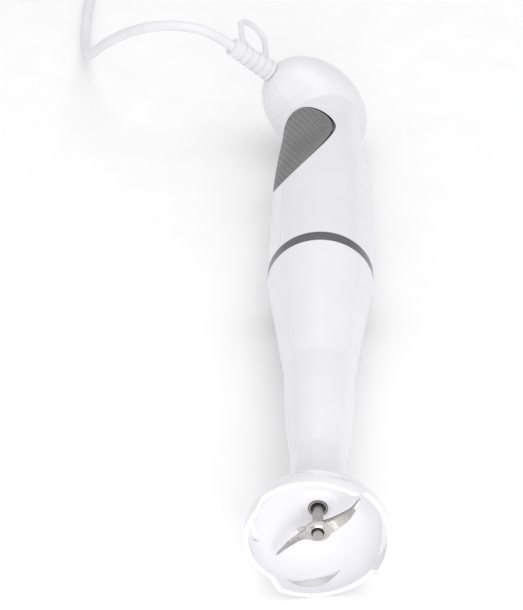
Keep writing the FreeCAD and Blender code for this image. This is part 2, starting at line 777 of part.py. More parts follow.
def build_handle():
    """Two half shells that meet on the plane through the axis and the trigger."""
    blend = 6.0
    egg = join("handle_outer", spun_profile("handle_outer", handle_outline(0, ring_top, head_z)),
               head_egg("head_outer", 0))
    outer = soften_neck("handle_form", egg, blend)
    inner = join("handle_inner", spun_profile("handle_inner", handle_outline(wall, ring_top - 1, head_z)),
                 head_egg("head_inner", wall))
    foot = spun_profile("handle_foot", [
        (spigot_radius - 2, arm_top + 3.7),
        (spigot_radius, arm_top + 3.7),
        (spigot_radius, ring_top),
        (grip_radius - 0.5, ring_top),
        (grip_radius - 0.5, ring_top + 1.5),
        (spigot_radius, ring_top + 1.5),
        (spigot_radius - 2, ring_top + 4),
    ])
    skin = cut("handle_skin", outer, inner, front_egg("trigger_opening", pad_gap, 4.0))
    whole = cut(
        "handle_whole",
        join("handle_solid", skin, foot, build_casing_ribs(outer)),
        block("pivot_slot", (17.5, -4.9, 250.0), (22.6, 4.9, 268.0)),
        rod("pivot_hole", pivot_radius, 17.2, (pivot_x, -8.6, pivot_z), ALONG_Y),
        block("bracket_slot", (2.0, -17.1, RAIL_LOW - 1), (5.0, 17.1, RAIL_HIGH + 1)),
        block("board_slot", (-6.95, -16.6, 266.0), (-5.35, 16.6, 333.0)),
        relief_rod("cord_opening", 4.5, -12, 14),
        relief_rod("flange_seat", 6.4, -12, -2.7),
        relief_rod("clamp_groove", cord_radius, -36, -8),
    )
    far = 60.0
    for name, low in (("handle_shell_left", 0.0), ("handle_shell_right", -far)):
        side = overlap(name, whole, block(f"{name}_side", (-far, low, 150.0), (far, low + far, 400.0)))
        holes = []
        for index, (x, z) in enumerate(SCREW_PLACES):
            if low < 0:
                holes.append(rod(f"clearance_{index}", 1.75, 60, (x, -60, z), ALONG_Y))
                holes.append(rod(f"counterbore_{index}", 2.95, 60, (x, -SCREW_HEAD - 60, z), ALONG_Y))
            else:
                holes.append(rod(f"pilot_{index}", 1.25, 9, (x, 0, z), ALONG_Y))
        holes += [rod(f"clamp_pilot_{name}_{y}", 1.0, 9, (CLAMP_MIDDLE, y, CLAMP_SEAT - 8))
                  for y in CLAMP_SCREWS]
        keep(name, cut(name, side, *holes))


CLAMP_MIDDLE = 13.0
CLAMP_SCREWS = (-6.5, 6.5)


def soften_neck(name, egg, radius):
    """Rounds the hollow edge where the head meets the handle."""
    low, high = head_z.value - 26, head_z.value + 1
    seam = []
    for index, edge in enumerate(egg.Shape.Edges, 1):
        box = edge.BoundBox
        between = low < box.ZMin and box.ZMax < high
        if between and not edge.Degenerated:
            seam.append((index, radius, radius))
    made = doc.addObject("Part::Fillet", name)
    made.Base = egg
    made.Edges = seam
    doc.recompute()
    return made


SCREW_HEAD = 9.0


def relief_axis():
    """Foot and direction of the strain relief."""
    dip = math.radians(relief_dip.value)
    foot = Vector(relief_foot_x.value, 0, relief_foot_z.value)
    return foot, Vector(math.cos(dip), 0, -math.sin(dip))


def relief_rod(name, radius, start, end):
    """A cylinder on the strain relief's axis, between two distances from its foot."""
    foot, along = relief_axis()
    turn = Rotation(Vector(0, 0, 1), along)
    return rod(name, radius, end - start, foot + along * start, turn)


def build_screws():
    heads = []
    for x, z in SCREW_PLACES:
        foot = Vector(x, -SCREW_HEAD - 2.0, z)
        head = Part.makeCylinder(2.7, 2.0, foot, Vector(0, 1, 0))
        shank = Part.makeCylinder(1.25, 16.0, foot + Vector(0, 2.0, 0), Vector(0, 1, 0))
        cross = Part.makeBox(0.8, 1.2, 3.4, foot + Vector(-0.4, -0.2, -1.7))
        bar = Part.makeBox(3.4, 1.2, 0.8, foot + Vector(-1.7, -0.2, -0.4))
        heads.append(head.fuse(shank).cut(cross).cut(bar))
    solid_from("handle_screws", Part.makeCompound(heads))


# ---------------------------------------------------------------- trigger, switch and board

def trigger_ring(name, outer_inset, inner_inset, grow):
    """The part of the handle's own curve that lies in the oval, between two depths."""
    back = 10.0
    outside = spun_profile(f"{name}_outside", handle_outline(outer_inset, 206.0, 345.0))
    inside = spun_profile(f"{name}_inside", handle_outline(inner_inset, 205.0, 346.0))
    return overlap(name, cut(name, outside, inside), front_egg(name, grow, back))


def build_trigger():
    """A soft oval skin on a rigid lever, which turns on a pin at its lower end."""
    keep("trigger_pad", trigger_ring("trigger_pad", 0, pad_thick, 0))
    depth = pad_thick + lever_thick
    plate = trigger_ring("lever_plate", pad_thick, depth, 0)
    lip = trigger_ring("lever_lip", wall + 0.5, depth, 1.3)
    lug = block("lever_lug", (19.5, -4.4, 256.6), (22.1, 4.4, 266.5))
    post = rod("lever_post", 2.5, 5.2, (14.5, 0, post_z), ALONG_X)
    eye = rod("lever_eye", pivot_radius + 0.05, 20, (pivot_x, -10, pivot_z), ALONG_Y)
    keep("trigger_lever", cut("trigger_lever", join("trigger_lever", plate, lip, lug, post), eye))
    pin = rod("pin_blank", pivot_radius, 17.2, (pivot_x, -8.6, pivot_z), ALONG_Y)
    keep("trigger_pin", ease_edges("trigger_pin", pin, 0.15))


def build_switch():
    """Bracket, switch, plunger and return spring behind the trigger."""
    plate = block("bracket_plate", (2.0, -16.4, 285.0), (5.0, 16.4, 333.0))
    tongue = block("bracket_tongues", (2.0, -17.0, 288.0), (5.0, 17.0, 330.0))
    window = block("switch_window", (1.0, -3.4, 302.8), (6.0, 3.4, 321.2))
    cup = rod("spring_cup", 4.4, 3.0, (5.0, 0, spring_z), ALONG_X)
    cup_hole = rod("spring_cup_hole", 3.5, 3.0, (5.0, 0, spring_z), ALONG_X)
    keep("switch_bracket", cut("switch_bracket", join("switch_bracket", plate, tongue, cup), cup_hole, window))
    case = block("switch_case", (-3.6, -3.4, 302.8), (11.6, 3.4, 321.2))
    well = rod("plunger_well", 1.56, 6.2, (5.6, 0, post_z), ALONG_X)
    keep("power_switch", cut("power_switch", case, well))
    stem = rod("plunger_blank", 1.5, 6.2, (7.9, 0, post_z), ALONG_X)
    keep("switch_plunger", ease_edges("switch_plunger", stem, 0.4))
    build_spring()


def build_spring():
    """Open coil between the bracket's cup and the lever."""
    turns, wire, mean = 7, 0.35, 2.8
    start, end = 5.0 + wire, 20.1 - wire
    helix = Part.makeHelix((end - start) / turns, end - start, mean)
    ring = Part.Wire(Part.makeCircle(wire, Vector(mean, 0, 0), Vector(0, 1, 0)))
    coil = Part.Wire(helix).makePipeShell([ring], True, True)
    solid_from("trigger_spring", coil,
               Placement(Vector(start, 0, spring_z.value), Rotation(Vector(0, 1, 0), 90)))


def build_board():
    """Circuit board with the parts that feed the motor with direct current."""
    board = block("board_plate", (-6.95, -15.8, 268.5), (-5.35, 15.8, 332.0))
    notch = rod("board_notch", 4.2, 10, (-12.0, 0, 325.0), ALONG_X)
    keep("circuit_board", cut("circuit_board", board, notch))
    keep("rectifier", block("rectifier", (-5.35, -9.0, 273.0), (-1.15, 9.0, 285.0)))
    keep("suppression_capacitor", block("suppression_capacitor", (-13.4, -8.0, 290.0), (-6.95, 8.0, 305.0)))


# ---------------------------------------------------------------- cord and its fittings

def build_strain_relief():
    """Ribbed sleeve with a flange inside the head and a hanging loop on its upper side."""
    length, bore_radius = relief_length.value, cord_radius.value + 0.05
    first, last, groove = relief_base.value, relief_tip.value, rib_groove.value
    back, collar, ribs = -5.0, 2.6, 5
    sleeve = [(bore_radius, back), (6.4, back), (6.4, -2.7), (4.5, -2.7),
              (4.5, 0.4), (first, 0.4), (first, collar)]
    step = (length - collar - 2.4) / ribs
    for rib in range(ribs):
        base = collar + rib * step
        thick = first + (last - first) * (rib + 1) / ribs
        sleeve += [(thick - groove, base), (thick - groove, base + 0.6),
                   (thick, base + 0.6), (thick, base + step)]
    sleeve += [(last, length), (bore_radius, length)]
    points = [Vector(r, 0, z) for r, z in sleeve]
    face = Part.Face(Part.makePolygon(points + points[:1]))
    body = face.revolve(Vector(), Vector(0, 0, 1), 360)
    bore = Part.makeCylinder(bore_radius, length - back, Vector(0, 0, back))
    foot, along = relief_axis()
    solid_from("strain_relief", body.fuse(loop_solid()).removeSplitter().cut(bore),
               Placement(foot, Rotation(Vector(0, 0, 1), along)))


def arched(foot, top, wide, round_foot):
    """An upright outline with a round top, in the sleeve's own frame, where up is -X."""
    half, middle = wide / 2, loop_middle.value
    low, high = middle - half, middle + half
    crown = half - top
    base = -foot - half if round_foot else -foot
    edges = [
        Part.makeLine(Vector(base, 0, low), Vector(crown, 0, low)),
        Part.Arc(Vector(crown, 0, low), Vector(-top, 0, middle), Vector(crown, 0, high)).toShape(),
        Part.makeLine(Vector(crown, 0, high), Vector(base, 0, high)),
    ]
    if round_foot:
        bottom = Part.Arc(Vector(base, 0, high), Vector(-foot, 0, middle), Vector(base, 0, low))
        edges.append(bottom.toShape())
    else:
        edges.append(Part.makeLine(Vector(base, 0, high), Vector(base, 0, low)))
    return Part.Wire(edges)


def loop_solid():
    """The hanging loop: a flat strap round an oval hole, with soft edges."""
    strap = (loop_wide.value - hole_wide.value) / 2
    thick = Vector(0, loop_thick.value, 0)
    outside = arched(1.0, loop_top.value, loop_wide.value, False)
    hole = arched(hole_foot.value, loop_top.value - strap, hole_wide.value, True)
    ring = Part.Face(outside).extrude(thick).cut(Part.Face(hole).extrude(thick))
    ring.translate(thick * -0.5)
    rims = [edge for edge in ring.Edges if abs(edge.BoundBox.YLength) < 0.01 and edge.BoundBox.XMax < -1.1]
    return ring.makeFillet(1.1, rims)


def build_clamp_and_lead():
    """Bar and screws that hold the lead, and the straight piece of lead that they hold."""
    bar = block("clamp_bar", (CLAMP_BACK + 1, -9.3, CLAMP_SEAT), (CLAMP_FRONT - 1, 9.3, CLAMP_SEAT + 4.4))
    tools = [relief_rod("clamp_bar_groove", cord_radius, -36, -8)]
    tools += [rod(f"clamp_bar_hole_{y}", 1.2, 9, (CLAMP_MIDDLE, y, CLAMP_SEAT - 2)) for y in CLAMP_SCREWS]
    keep("cord_clamp", cut("cord_clamp", bar, *tools))
    screws = []
    for y in CLAMP_SCREWS:
        foot = Vector(CLAMP_MIDDLE, y, CLAMP_SEAT - 6)
        shank = Part.makeCylinder(1.0, 10.4, foot)
        head = Part.makeCylinder(2.1, 1.6, foot + Vector(0, 0, 10.4))
        slot = Part.makeBox(0.7, 6, 0.8, foot + Vector(-0.35, -3, 11.4))
        screws.append(shank.fuse(head).cut(slot))
    solid_from("clamp_screws", Part.makeCompound(screws))
    keep("supply_lead", relief_rod("supply_lead", cord_radius, -31, lead_start.value))


# ---------------------------------------------------------------- free lead and plug

# The lead from the strain relief to the coil, in the lying frame, chosen by hand.
CORD_ROUTE = (
    (-39.5, 160.2, 65.4),
    (-49.0, 158.9, 73.4),
    (-62.1, 157.7, 77.8),
    (-77.0, 159.7, 77.0),
    (-91.2, 166.7, 69.8),
    (-103.4, 178.6, 57.5),
    (-112.4, 194.6, 43.0),
    (-118.6, 213.1, 28.0),
    (-123.0, 233.6, 14.8),
    (-126.4, 256.1, 5.6),
    (-129.0, 279.6, 2.8),
    (-130.2, 303.6, 2.8),
    (-129.6, 327.1, 2.8),
    (-129.4, 349.1, 2.8),
)
COIL_CENTRE = (-164.9, 363.1)
PLUG_TURN = 20.0            # the plug's direction, clockwise from +Y, degrees
PLUG_FACE = 66.0            # from where the lead leaves the coil to the plug's face


def rounded_path(points):
    """Straight runs joined by tangent arcs that are as large as the runs allow."""
    corners = [Vector(*point) for point in points]
    edges = []
    start = corners[0]
    for before, corner, after in zip(corners, corners[1:], corners[2:]):
        shorter = min((corner - before).Length, (after - corner).Length)
        back = (before - corner).normalize()
        ahead = (after - corner).normalize()
        half = (math.pi - back.getAngle(ahead)) / 2
        trim = 0.45 * shorter
        radius = trim / math.tan(half)
        print(f"lead bend radius {radius:.1f} mm")
        entry = corner + back * trim
        leave = corner + ahead * trim
        inward = (back + ahead).normalize()
        middle = corner + inward * (radius / math.cos(half) - radius)
        edges.append(Part.makeLine(start, entry))
        edges.append(Part.Arc(entry, middle, leave).toShape())
        start = leave
    edges.append(Part.makeLine(start, corners[-1]))
    return Part.Wire(edges)


def build_cord():
    path = rounded_path(CORD_ROUTE)
    radius = cord_radius.value
    start = Vector(*CORD_ROUTE[0])
    ring = Part.Wire(Part.makeCircle(radius, start, Vector(*CORD_ROUTE[1]) - start))
    lead = path.makePipeShell([ring], True, False)
    ratio = lead.Volume / (math.pi * radius * radius * path.Length)
    print(f"lead length {path.Length:.1f} mm, volume ratio {ratio:.4f}")
    solid_from("cord_tube", lead)
    edge = 2.5
    low, high = 0.0, coil_high
    inner, outer = coil_turn - coil_half, coil_turn + coil_half
    coil = lathe("cord_coil", [
        (inner + edge, low),
        (outer - edge, low),
        (outer, low + edge),
        (outer, high - edge),
        (outer - edge, high),
        (inner + edge, high),
        (inner, high - edge),
        (inner, low + edge),
    ])
    keep("cord_coil", coil, Placement(Vector(*COIL_CENTRE, 0), Rotation()))


def plug_section(height, width, thick):
    """One cross-section of the plug: a flat shape with round sides."""
    flat = (width - thick) / 2
    half = thick / 2
    corners = [Vector(flat, -half, height), Vector(flat, half, height),
               Vector(-flat, half, height), Vector(-flat, -half, height)]
    right = Part.Arc(corners[0], Vector(flat + half, 0, height), corners[1]).toShape()
    left = Part.Arc(corners[2], Vector(-flat - half, 0, height), corners[3]).toShape()
    top = Part.makeLine(corners[1], corners[2])
    bottom = Part.makeLine(corners[3], corners[0])
    return Part.Wire([right, top, left, bottom])


def build_plug():
    """Flat two-pin plug: its face is at the origin of its own frame and its pins point along +Z."""
    shoulder, neck, tail = -15.0, -30.0, -52.5
    front = Part.makeLoft([plug_section(shoulder, 35.0, 13.6), plug_section(0, 35.0, 13.6)], True)
    back = Part.makeLoft([plug_section(neck, 11.0, 9.6), plug_section(shoulder, 35.0, 13.6)], True)
    sleeve = Part.makeCone(3.4, 4.5, neck - tail, Vector(0, 0, tail))
    shape = front.fuse([back, sleeve])
    for rib in range(5):
        groove = tail + 3.5 + 3.6 * rib
        ring = Part.makeCylinder(6.0, 1.2, Vector(0, 0, groove))
        core = Part.makeCone(2.9 + 0.16 * rib, 2.95 + 0.16 * rib, 1.2, Vector(0, 0, groove))
        shape = shape.cut(ring.cut(core))
    spacing, depth = 9.4, 6.0
    pins = []
    for side in (-spacing, spacing):
        root = Part.makeCylinder(pin_root.value, depth, Vector(side, 0, -depth))
        shape = shape.cut(root)
        shank = Part.makeCylinder(pin_radius.value, pin_length.value, Vector(side, 0, 0))
        tip = [edge for edge in shank.Edges if edge.BoundBox.ZMin > pin_length.value - 0.1]
        pins.append(shank.makeFillet(0.7, tip).fuse(root))
    heading = math.radians(PLUG_TURN)
    along = Vector(math.sin(heading), math.cos(heading), 0)
    side = Vector(math.cos(heading), -math.sin(heading), 0)
    leave = Vector(*COIL_CENTRE, 0) + side * (coil_turn.value + 2 * cord_radius.value)
    lie = Rotation(side, Vector(0, 0, -1), along, "ZXY")
    spot = Placement(leave + along * PLUG_FACE + Vector(0, 0, 6.8), lie)
    solid_from("plug_body", shape.removeSplitter(), spot)
    solid_from("plug_pins", Part.makeCompound(pins), spot)


# ---------------------------------------------------------------- laying it down

def lay_down():
    """Rotation that lays the upright blender on its side, with the trigger turned partly up."""
    fall = Rotation(Vector(1, 0, 0), -90 - rest_tilt.value)
    return fall * Rotation(Vector(0, 0, 1), -front_turn.value)


def settle():
    """Moves every piece so far into its lying place, with the box of all of them over the origin."""
    down = Placement(Vector(), lay_down())
    box = FreeCAD.BoundBox()
    for name, (thing, own) in NODES.items():
        shape = thing.Shape.copy()
        shape.Placement = down.multiply(own).multiply(shape.Placement)
        box.add(shape.optimalBoundingBox(False))
    shift = Placement(Vector(-(box.XMin + box.XMax) / 2, -(box.YMin + box.YMax) / 2, -box.ZMin), Rotation())
    final = shift.multiply(down)
    for name, (thing, own) in NODES.items():
        thing.Placement = final.multiply(own).multiply(thing.Placement)
    return final


build_blade_guard()
build_arm()
build_blade()
build_drive()
build_motor_case()
build_magnets()
build_brushes()
build_handle()
build_screws()
build_trigger()
build_switch()
build_board()
build_strain_relief()
build_clamp_and_lead()
doc.recompute()
final = settle()
rigid = set(NODES)
foot, along = relief_axis()
end = final.multVec(foot + along * lead_start.value)
print("relief end", end, "direction", final.Rotation.multVec(along))
print("placement", final.Base.x, final.Base.y, final.Base.z)
build_cord()
build_plug()
for name, (thing, own) in NODES.items():
    if name not in rigid:
        thing.Placement = own.multiply(thing.Placement)
doc.recompute()
os.makedirs("parts", exist_ok=True)
for name, (thing, own) in NODES.items():
    shape = thing.Shape
    problems = [word for word in thing.State if word in ("Invalid", "Error")]
    if problems or shape.isNull() or not shape.isValid():
        raise RuntimeError(f"{name} is not a good shape: {problems}")
    shape.exportStep(f"parts/{name}.step")
    box = shape.optimalBoundingBox(False)
    print(f"{name:24s} vol {shape.Volume:10.1f} solids {len(shape.Solids)} "
          f"box {box.XMin:.1f} {box.YMin:.1f} {box.ZMin:.1f} .. {box.XMax:.1f} {box.YMax:.1f} {box.ZMax:.1f}")
for thing in doc.Objects:
    bad = [word for word in thing.State if word in ("Invalid", "Error")]
    if bad:
        raise RuntimeError(f"{thing.Name} did not recompute")
print(f"{len(NODES)} sub-parts")
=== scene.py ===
"""Looks of the hand blender: materials, lead, blade, trigger skin, light and camera over the CAD frame."""
import math

import bmesh
import bpy
from mathutils import Matrix, Vector
from mathutils.bvhtree import BVHTree


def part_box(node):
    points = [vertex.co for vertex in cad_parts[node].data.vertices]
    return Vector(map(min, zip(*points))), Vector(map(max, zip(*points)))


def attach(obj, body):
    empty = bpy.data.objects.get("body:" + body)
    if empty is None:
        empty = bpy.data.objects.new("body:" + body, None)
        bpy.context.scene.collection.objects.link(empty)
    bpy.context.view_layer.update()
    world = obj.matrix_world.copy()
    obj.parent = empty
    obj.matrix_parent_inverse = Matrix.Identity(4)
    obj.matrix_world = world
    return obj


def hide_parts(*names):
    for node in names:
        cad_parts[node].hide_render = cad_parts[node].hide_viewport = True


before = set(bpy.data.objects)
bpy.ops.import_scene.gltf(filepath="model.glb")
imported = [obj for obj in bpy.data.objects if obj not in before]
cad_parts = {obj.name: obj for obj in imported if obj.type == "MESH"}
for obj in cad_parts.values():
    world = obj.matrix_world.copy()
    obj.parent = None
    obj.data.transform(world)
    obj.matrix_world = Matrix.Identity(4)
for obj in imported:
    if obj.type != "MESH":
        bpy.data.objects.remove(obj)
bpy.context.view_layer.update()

MM = 0.001
HOUSING, ROTOR, TRIGGER = "housing", "rotor", "trigger"

# How the upright blender was laid down, as in the CAD source.
REST_TILT = 1.25
FRONT_TURN = 140.0
BUSH_MIDDLE = 36.0          # height of the lower bush's middle, a known mark on the axis
LAID = (Matrix.Rotation(math.radians(-90 - REST_TILT), 3, "X")
        @ Matrix.Rotation(math.radians(-FRONT_TURN), 3, "Z"))


def middle(node):
    """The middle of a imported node's box, in metres."""
    low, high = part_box(node)
    return (low + high) / 2


FOOT = middle("lower_bush") - LAID @ Vector((0, 0, BUSH_MIDDLE * MM))


def laid(x, y, z):
    """A point of the upright design, in millimetres, where it lies on the table, in metres."""
    return FOOT + LAID @ (Vector((x, y, z)) * MM)


LAID_MATRIX = Matrix.Translation(FOOT) @ LAID.to_4x4()


# ---------------------------------------------------------------- camera

CAMERA_OFFSET = Vector((0.028, -0.966, 0.6999))     # from the point that it looks at, metres
CAMERA_AIM = (23.85, -15.14, 170.95)                # in the upright design, millimetres
CAMERA_LENS = 147.54
CAMERA_ROLL = 0.363


def make_camera():
    """A long lens beyond the guard's end, looking down along the blender."""
    aim = laid(*CAMERA_AIM)
    data = bpy.data.cameras.new("camera")
    data.lens = CAMERA_LENS
    data.sensor_width = 36
    data.clip_start = 0.01
    camera = bpy.data.objects.new("camera", data)
    bpy.context.scene.collection.objects.link(camera)
    look = (-CAMERA_OFFSET).to_track_quat("-Z", "Y").to_matrix().to_4x4()
    roll = Matrix.Rotation(math.radians(-CAMERA_ROLL), 4, "Z")
    camera.matrix_world = Matrix.Translation(aim + CAMERA_OFFSET) @ look @ roll
    bpy.context.scene.camera = camera


make_camera()


# ---------------------------------------------------------------- materials

def new_material(name):
    """A new material with its nodes, its links and its shader."""
    material = bpy.data.materials.new(name)
    material.use_nodes = True
    nodes = material.node_tree.nodes
    return material, nodes, material.node_tree.links, nodes["Principled BSDF"]


def math_node(nodes, links, operation, first, second=None):
    """One sum, product or other operation on numbers or sockets."""
    node = nodes.new("ShaderNodeMath")
    node.operation = operation
    for index, value in enumerate((first, second)):
        if value is None:
            continue
        if isinstance(value, (int, float)):
            node.inputs[index].default_value = value
        else:
            links.new(value, node.inputs[index])
    return node.outputs[0]


def remap(nodes, links, value, low, high, to_low=0.0, to_high=1.0):
    """Turns the range from low to high into another, clamped at its ends."""
    node = nodes.new("ShaderNodeMapRange")
    settings = {"From Min": low, "From Max": high, "To Min": to_low, "To Max": to_high}
    for key, setting in settings.items():
        node.inputs[key].default_value = setting
    links.new(value, node.inputs["Value"])
    return node.outputs[0]


def blend(nodes, links, factor, first, second):
    """Goes from the first colour to the second as the factor goes from 0 to 1."""
    node = nodes.new("ShaderNodeMix")
    node.data_type = "RGBA"
    links.new(factor, node.inputs[0])
    for socket, colour in ((node.inputs[6], first), (node.inputs[7], second)):
        if isinstance(colour, tuple):
            socket.default_value = (*colour, 1)
        else:
            links.new(colour, socket)
    return node.outputs[2]


def mesh_value(nodes, name):
    """A number that the mesh carries under this name."""
    node = nodes.new("ShaderNodeAttribute")
    node.attribute_name = name
    return node.outputs["Fac"]


def ramp(nodes, links, factor, stops):
    """A colour ramp of (position, colour) stops."""
    node = nodes.new("ShaderNodeValToRGB")
    elements = node.color_ramp.elements
    for index, (position, colour) in enumerate(stops):
        element = elements[index] if index < 2 else elements.new(position)
        element.position = position
        element.color = (*colour, 1)
    links.new(factor, node.inputs[0])
    return node.outputs["Color"]


def noise(nodes, links, scale, detail=2.0, stretch=None):
    """Noise over an object, with its scale per metre, optionally stretched along the axes."""
    place = nodes.new("ShaderNodeTexCoord").outputs["Object"]
    if stretch:
        mapping = nodes.new("ShaderNodeMapping")
        mapping.inputs["Scale"].default_value = stretch
        links.new(place, mapping.inputs["Vector"])
        place = mapping.outputs["Vector"]
    node = nodes.new("ShaderNodeTexNoise")
    node.inputs["Scale"].default_value = scale
    node.inputs["Detail"].default_value = detail
    links.new(place, node.inputs["Vector"])
    return node.outputs["Fac"]


def design_place(nodes, links):
    """Separated coordinates in the upright design, in millimetres."""
    place = nodes.new("ShaderNodeTexCoord").outputs["Object"]
    back = LAID_MATRIX.inverted()
    mapping = nodes.new("ShaderNodeMapping")
    mapping.inputs["Location"].default_value = back.to_translation() / MM
    mapping.inputs["Rotation"].default_value = back.to_euler("XYZ")
    mapping.inputs["Scale"].default_value = (1 / MM, 1 / MM, 1 / MM)
    links.new(place, mapping.inputs["Vector"])
    parts = nodes.new("ShaderNodeSeparateXYZ")
    links.new(mapping.outputs["Vector"], parts.inputs[0])
    return parts.outputs


def from_axis(nodes, links, near, far):
    """Runs from 0 to 1 between two distances from the design's axis, in millimetres."""
    x, y = design_place(nodes, links)[:2]
    squares = [math_node(nodes, links, "MULTIPLY", value, value) for value in (x, y)]
    span = math_node(nodes, links, "SQRT", math_node(nodes, links, "ADD", *squares))
    return remap(nodes, links, span, near, far)


def bump(nodes, links, height, strength, distance, shader):
    """Fine relief that is too small for the mesh, a moulded grain or brush marks."""
    node = nodes.new("ShaderNodeBump")
    node.inputs["Strength"].default_value = strength
    node.inputs["Distance"].default_value = distance
    links.new(height, node.inputs["Height"])
    links.new(node.outputs["Normal"], shader.inputs["Normal"])


GRAIN_DEPTH = 0.00002


def plastic(name, light, dark, roughness, grain=2500, coat=0.0):
    """Moulded plastic: faint clouding of the colour, and a fine moulded grain."""
    material, nodes, links, shader = new_material(name)
    cloud = noise(nodes, links, 45, 3)
    links.new(ramp(nodes, links, cloud, [(0.3, dark), (0.7, light)]), shader.inputs["Base Color"])
    rough = remap(nodes, links, noise(nodes, links, 90, 4), 0, 1, roughness * 0.85, roughness * 1.2)
    links.new(rough, shader.inputs["Roughness"])
    bump(nodes, links, noise(nodes, links, grain, 2), 0.25, GRAIN_DEPTH, shader)
    shader.inputs["Coat Weight"].default_value = coat
    shader.inputs["Coat Roughness"].default_value = 0.12
    return material


def metal(name, light, dark, roughness, stretch=(1, 1, 1), scale=900, depth=GRAIN_DEPTH):
    """Metal with fine marks drawn out along one direction."""
    material, nodes, links, shader = new_material(name)
    shader.inputs["Metallic"].default_value = 1.0
    marks = noise(nodes, links, scale, 5, stretch)
    links.new(ramp(nodes, links, marks, [(0.3, dark), (0.7, light)]), shader.inputs["Base Color"])
    rough = remap(nodes, links, marks, 0, 1, roughness * 0.8, roughness * 1.25)
    links.new(rough, shader.inputs["Roughness"])
    bump(nodes, links, marks, 0.3, depth, shader)
    return material


WHITE = (0.752, 0.747, 0.777)
WHITE_LOW = (0.727, 0.722, 0.752)
ON_BEVEL, ON_EDGE = 1.0, 2.0        # what a blade's face carries on its bevel and its cutting edge
# Where a colour changes, in millimetres from the axis, or from the middle plane for the seam.
# inside this radius the blade is painted near black, as shade in the gap inside the collar
RIVET_SHADE_SPAN = (2.62, 2.7)
SEAL_SPAN = (2.4, 4.3)
SEAM_SPAN = (0.03, 0.1)


def grip_material():
    """Soft grey rubber with painted shade down in its dimples, darker where they are deeper, and a fine matt
    grain.
    """
    material, nodes, links, shader = new_material("grip_rubber")
    cloud = noise(nodes, links, 60, 3)
    rubber = ramp(nodes, links, cloud, [(0.3, (0.138, 0.138, 0.141)), (0.7, (0.182, 0.180, 0.176))])
    # painted shade: the rubber goes towards near black with each dimple's depth
    colour = blend(nodes, links, mesh_value(nodes, "dimple"), rubber, (0.09, 0.09, 0.095))
    links.new(colour, shader.inputs["Base Color"])
    shader.inputs["Roughness"].default_value = 0.46
    bump(nodes, links, noise(nodes, links, 3200, 2), 0.3, 1.5 * GRAIN_DEPTH, shader)
    return material


def open_up(material):
    """A material's nodes, its links, its shader, and the colour that reaches the shader now."""
    tree = material.node_tree
    shader = tree.nodes["Principled BSDF"]
    return tree.nodes, tree.links, shader, shader.inputs["Base Color"].links[0].from_socket


def blade_material():
    """Pressed steel with a ground bevel, a dark cutting edge, and painted shade as near black in the gap
    round the rivet.
    """
    material = metal("blade_steel", (0.60, 0.59, 0.565), (0.45, 0.445, 0.42), 0.24, scale=500)
    nodes, links, shader, base = open_up(material)
    ground = mesh_value(nodes, "ground")
    bevelled = blend(nodes, links, ground, base, (0.47, 0.47, 0.455))
    keen = remap(nodes, links, ground, ON_BEVEL, ON_EDGE)
    edged = blend(nodes, links, keen, bevelled, (0.16, 0.16, 0.155))
    # painted shade: near black inside the collar, in the gap round the rivet
    colour = blend(nodes, links, from_axis(nodes, links, *RIVET_SHADE_SPAN), (0.01, 0.01, 0.01), edged)
    links.new(colour, shader.inputs["Base Color"])
    return material


def seal_material():
    """Black rubber lip seal in a grey washer, with painted shade as a black band round its outer edge."""
    material = plastic("shaft_seal_rubber", (0.035, 0.035, 0.036), (0.022, 0.022, 0.023), 0.5)
    nodes, links, shader = open_up(material)[:3]
    black, rubber = (0.03, 0.03, 0.03), (0.05, 0.05, 0.05)
    washer, rim = (0.34, 0.335, 0.32), (0.40, 0.395, 0.38)
    # the black stops from 0.86 outwards are painted shade round the seal's outer edge
    stops = [(0.0, black), (0.42, rubber), (0.5, washer), (0.80, rim), (0.86, black), (1.0, black)]
    links.new(ramp(nodes, links, from_axis(nodes, links, *SEAL_SPAN), stops), shader.inputs["Base Color"])
    return material


def shell_material():
    """The white plastic, with the fine line where the two half shells meet."""
    material = plastic("shell_plastic", WHITE, WHITE_LOW, 0.24, coat=0.25)
    nodes, links, shader, base = open_up(material)
    side = math_node(nodes, links, "ABSOLUTE", design_place(nodes, links)[1])
    colour = blend(nodes, links, remap(nodes, links, side, *SEAM_SPAN), (0.56, 0.56, 0.58), base)
    links.new(colour, shader.inputs["Base Color"])
    return material


MATERIALS = {
    "white": plastic("white_plastic", WHITE, WHITE_LOW, 0.24, coat=0.25),
    "shell": shell_material(),
    "cord": plastic("cord_pvc", (0.77, 0.77, 0.785), (0.735, 0.735, 0.75), 0.38, grain=1500),
    "grip": grip_material(),
    "ring": metal("ring_metal", (0.22, 0.22, 0.23), (0.14, 0.14, 0.15), 0.3, (1, 40, 1), 60),
    "stainless": metal("stainless", (0.46, 0.45, 0.43), (0.33, 0.32, 0.305), 0.3, scale=700),
    "blade": blade_material(),
    "lip": seal_material(),
    "steel": metal("steel", (0.50, 0.50, 0.51), (0.36, 0.36, 0.37), 0.35),
    "bronze": metal("bronze", (0.55, 0.40, 0.22), (0.42, 0.29, 0.15), 0.42),
    "copper": metal("copper", (0.62, 0.27, 0.13), (0.45, 0.17, 0.08), 0.35, (1, 60, 1), 90, 0.0001),
    "pins": metal("pin_metal", (0.70, 0.68, 0.62), (0.58, 0.56, 0.50), 0.22),
    "magnet": plastic("magnet", (0.06, 0.06, 0.062), (0.04, 0.04, 0.042), 0.55),
    "dark": plastic("inner_plastic", (0.10, 0.10, 0.105), (0.07, 0.07, 0.075), 0.45),
    "seal": plastic("seal_rubber", (0.05, 0.05, 0.052), (0.03, 0.03, 0.032), 0.6),
    "board": plastic("board", (0.06, 0.20, 0.08), (0.04, 0.14, 0.06), 0.4),
    "film": plastic("film", (0.62, 0.48, 0.10), (0.52, 0.40, 0.08), 0.3),
}

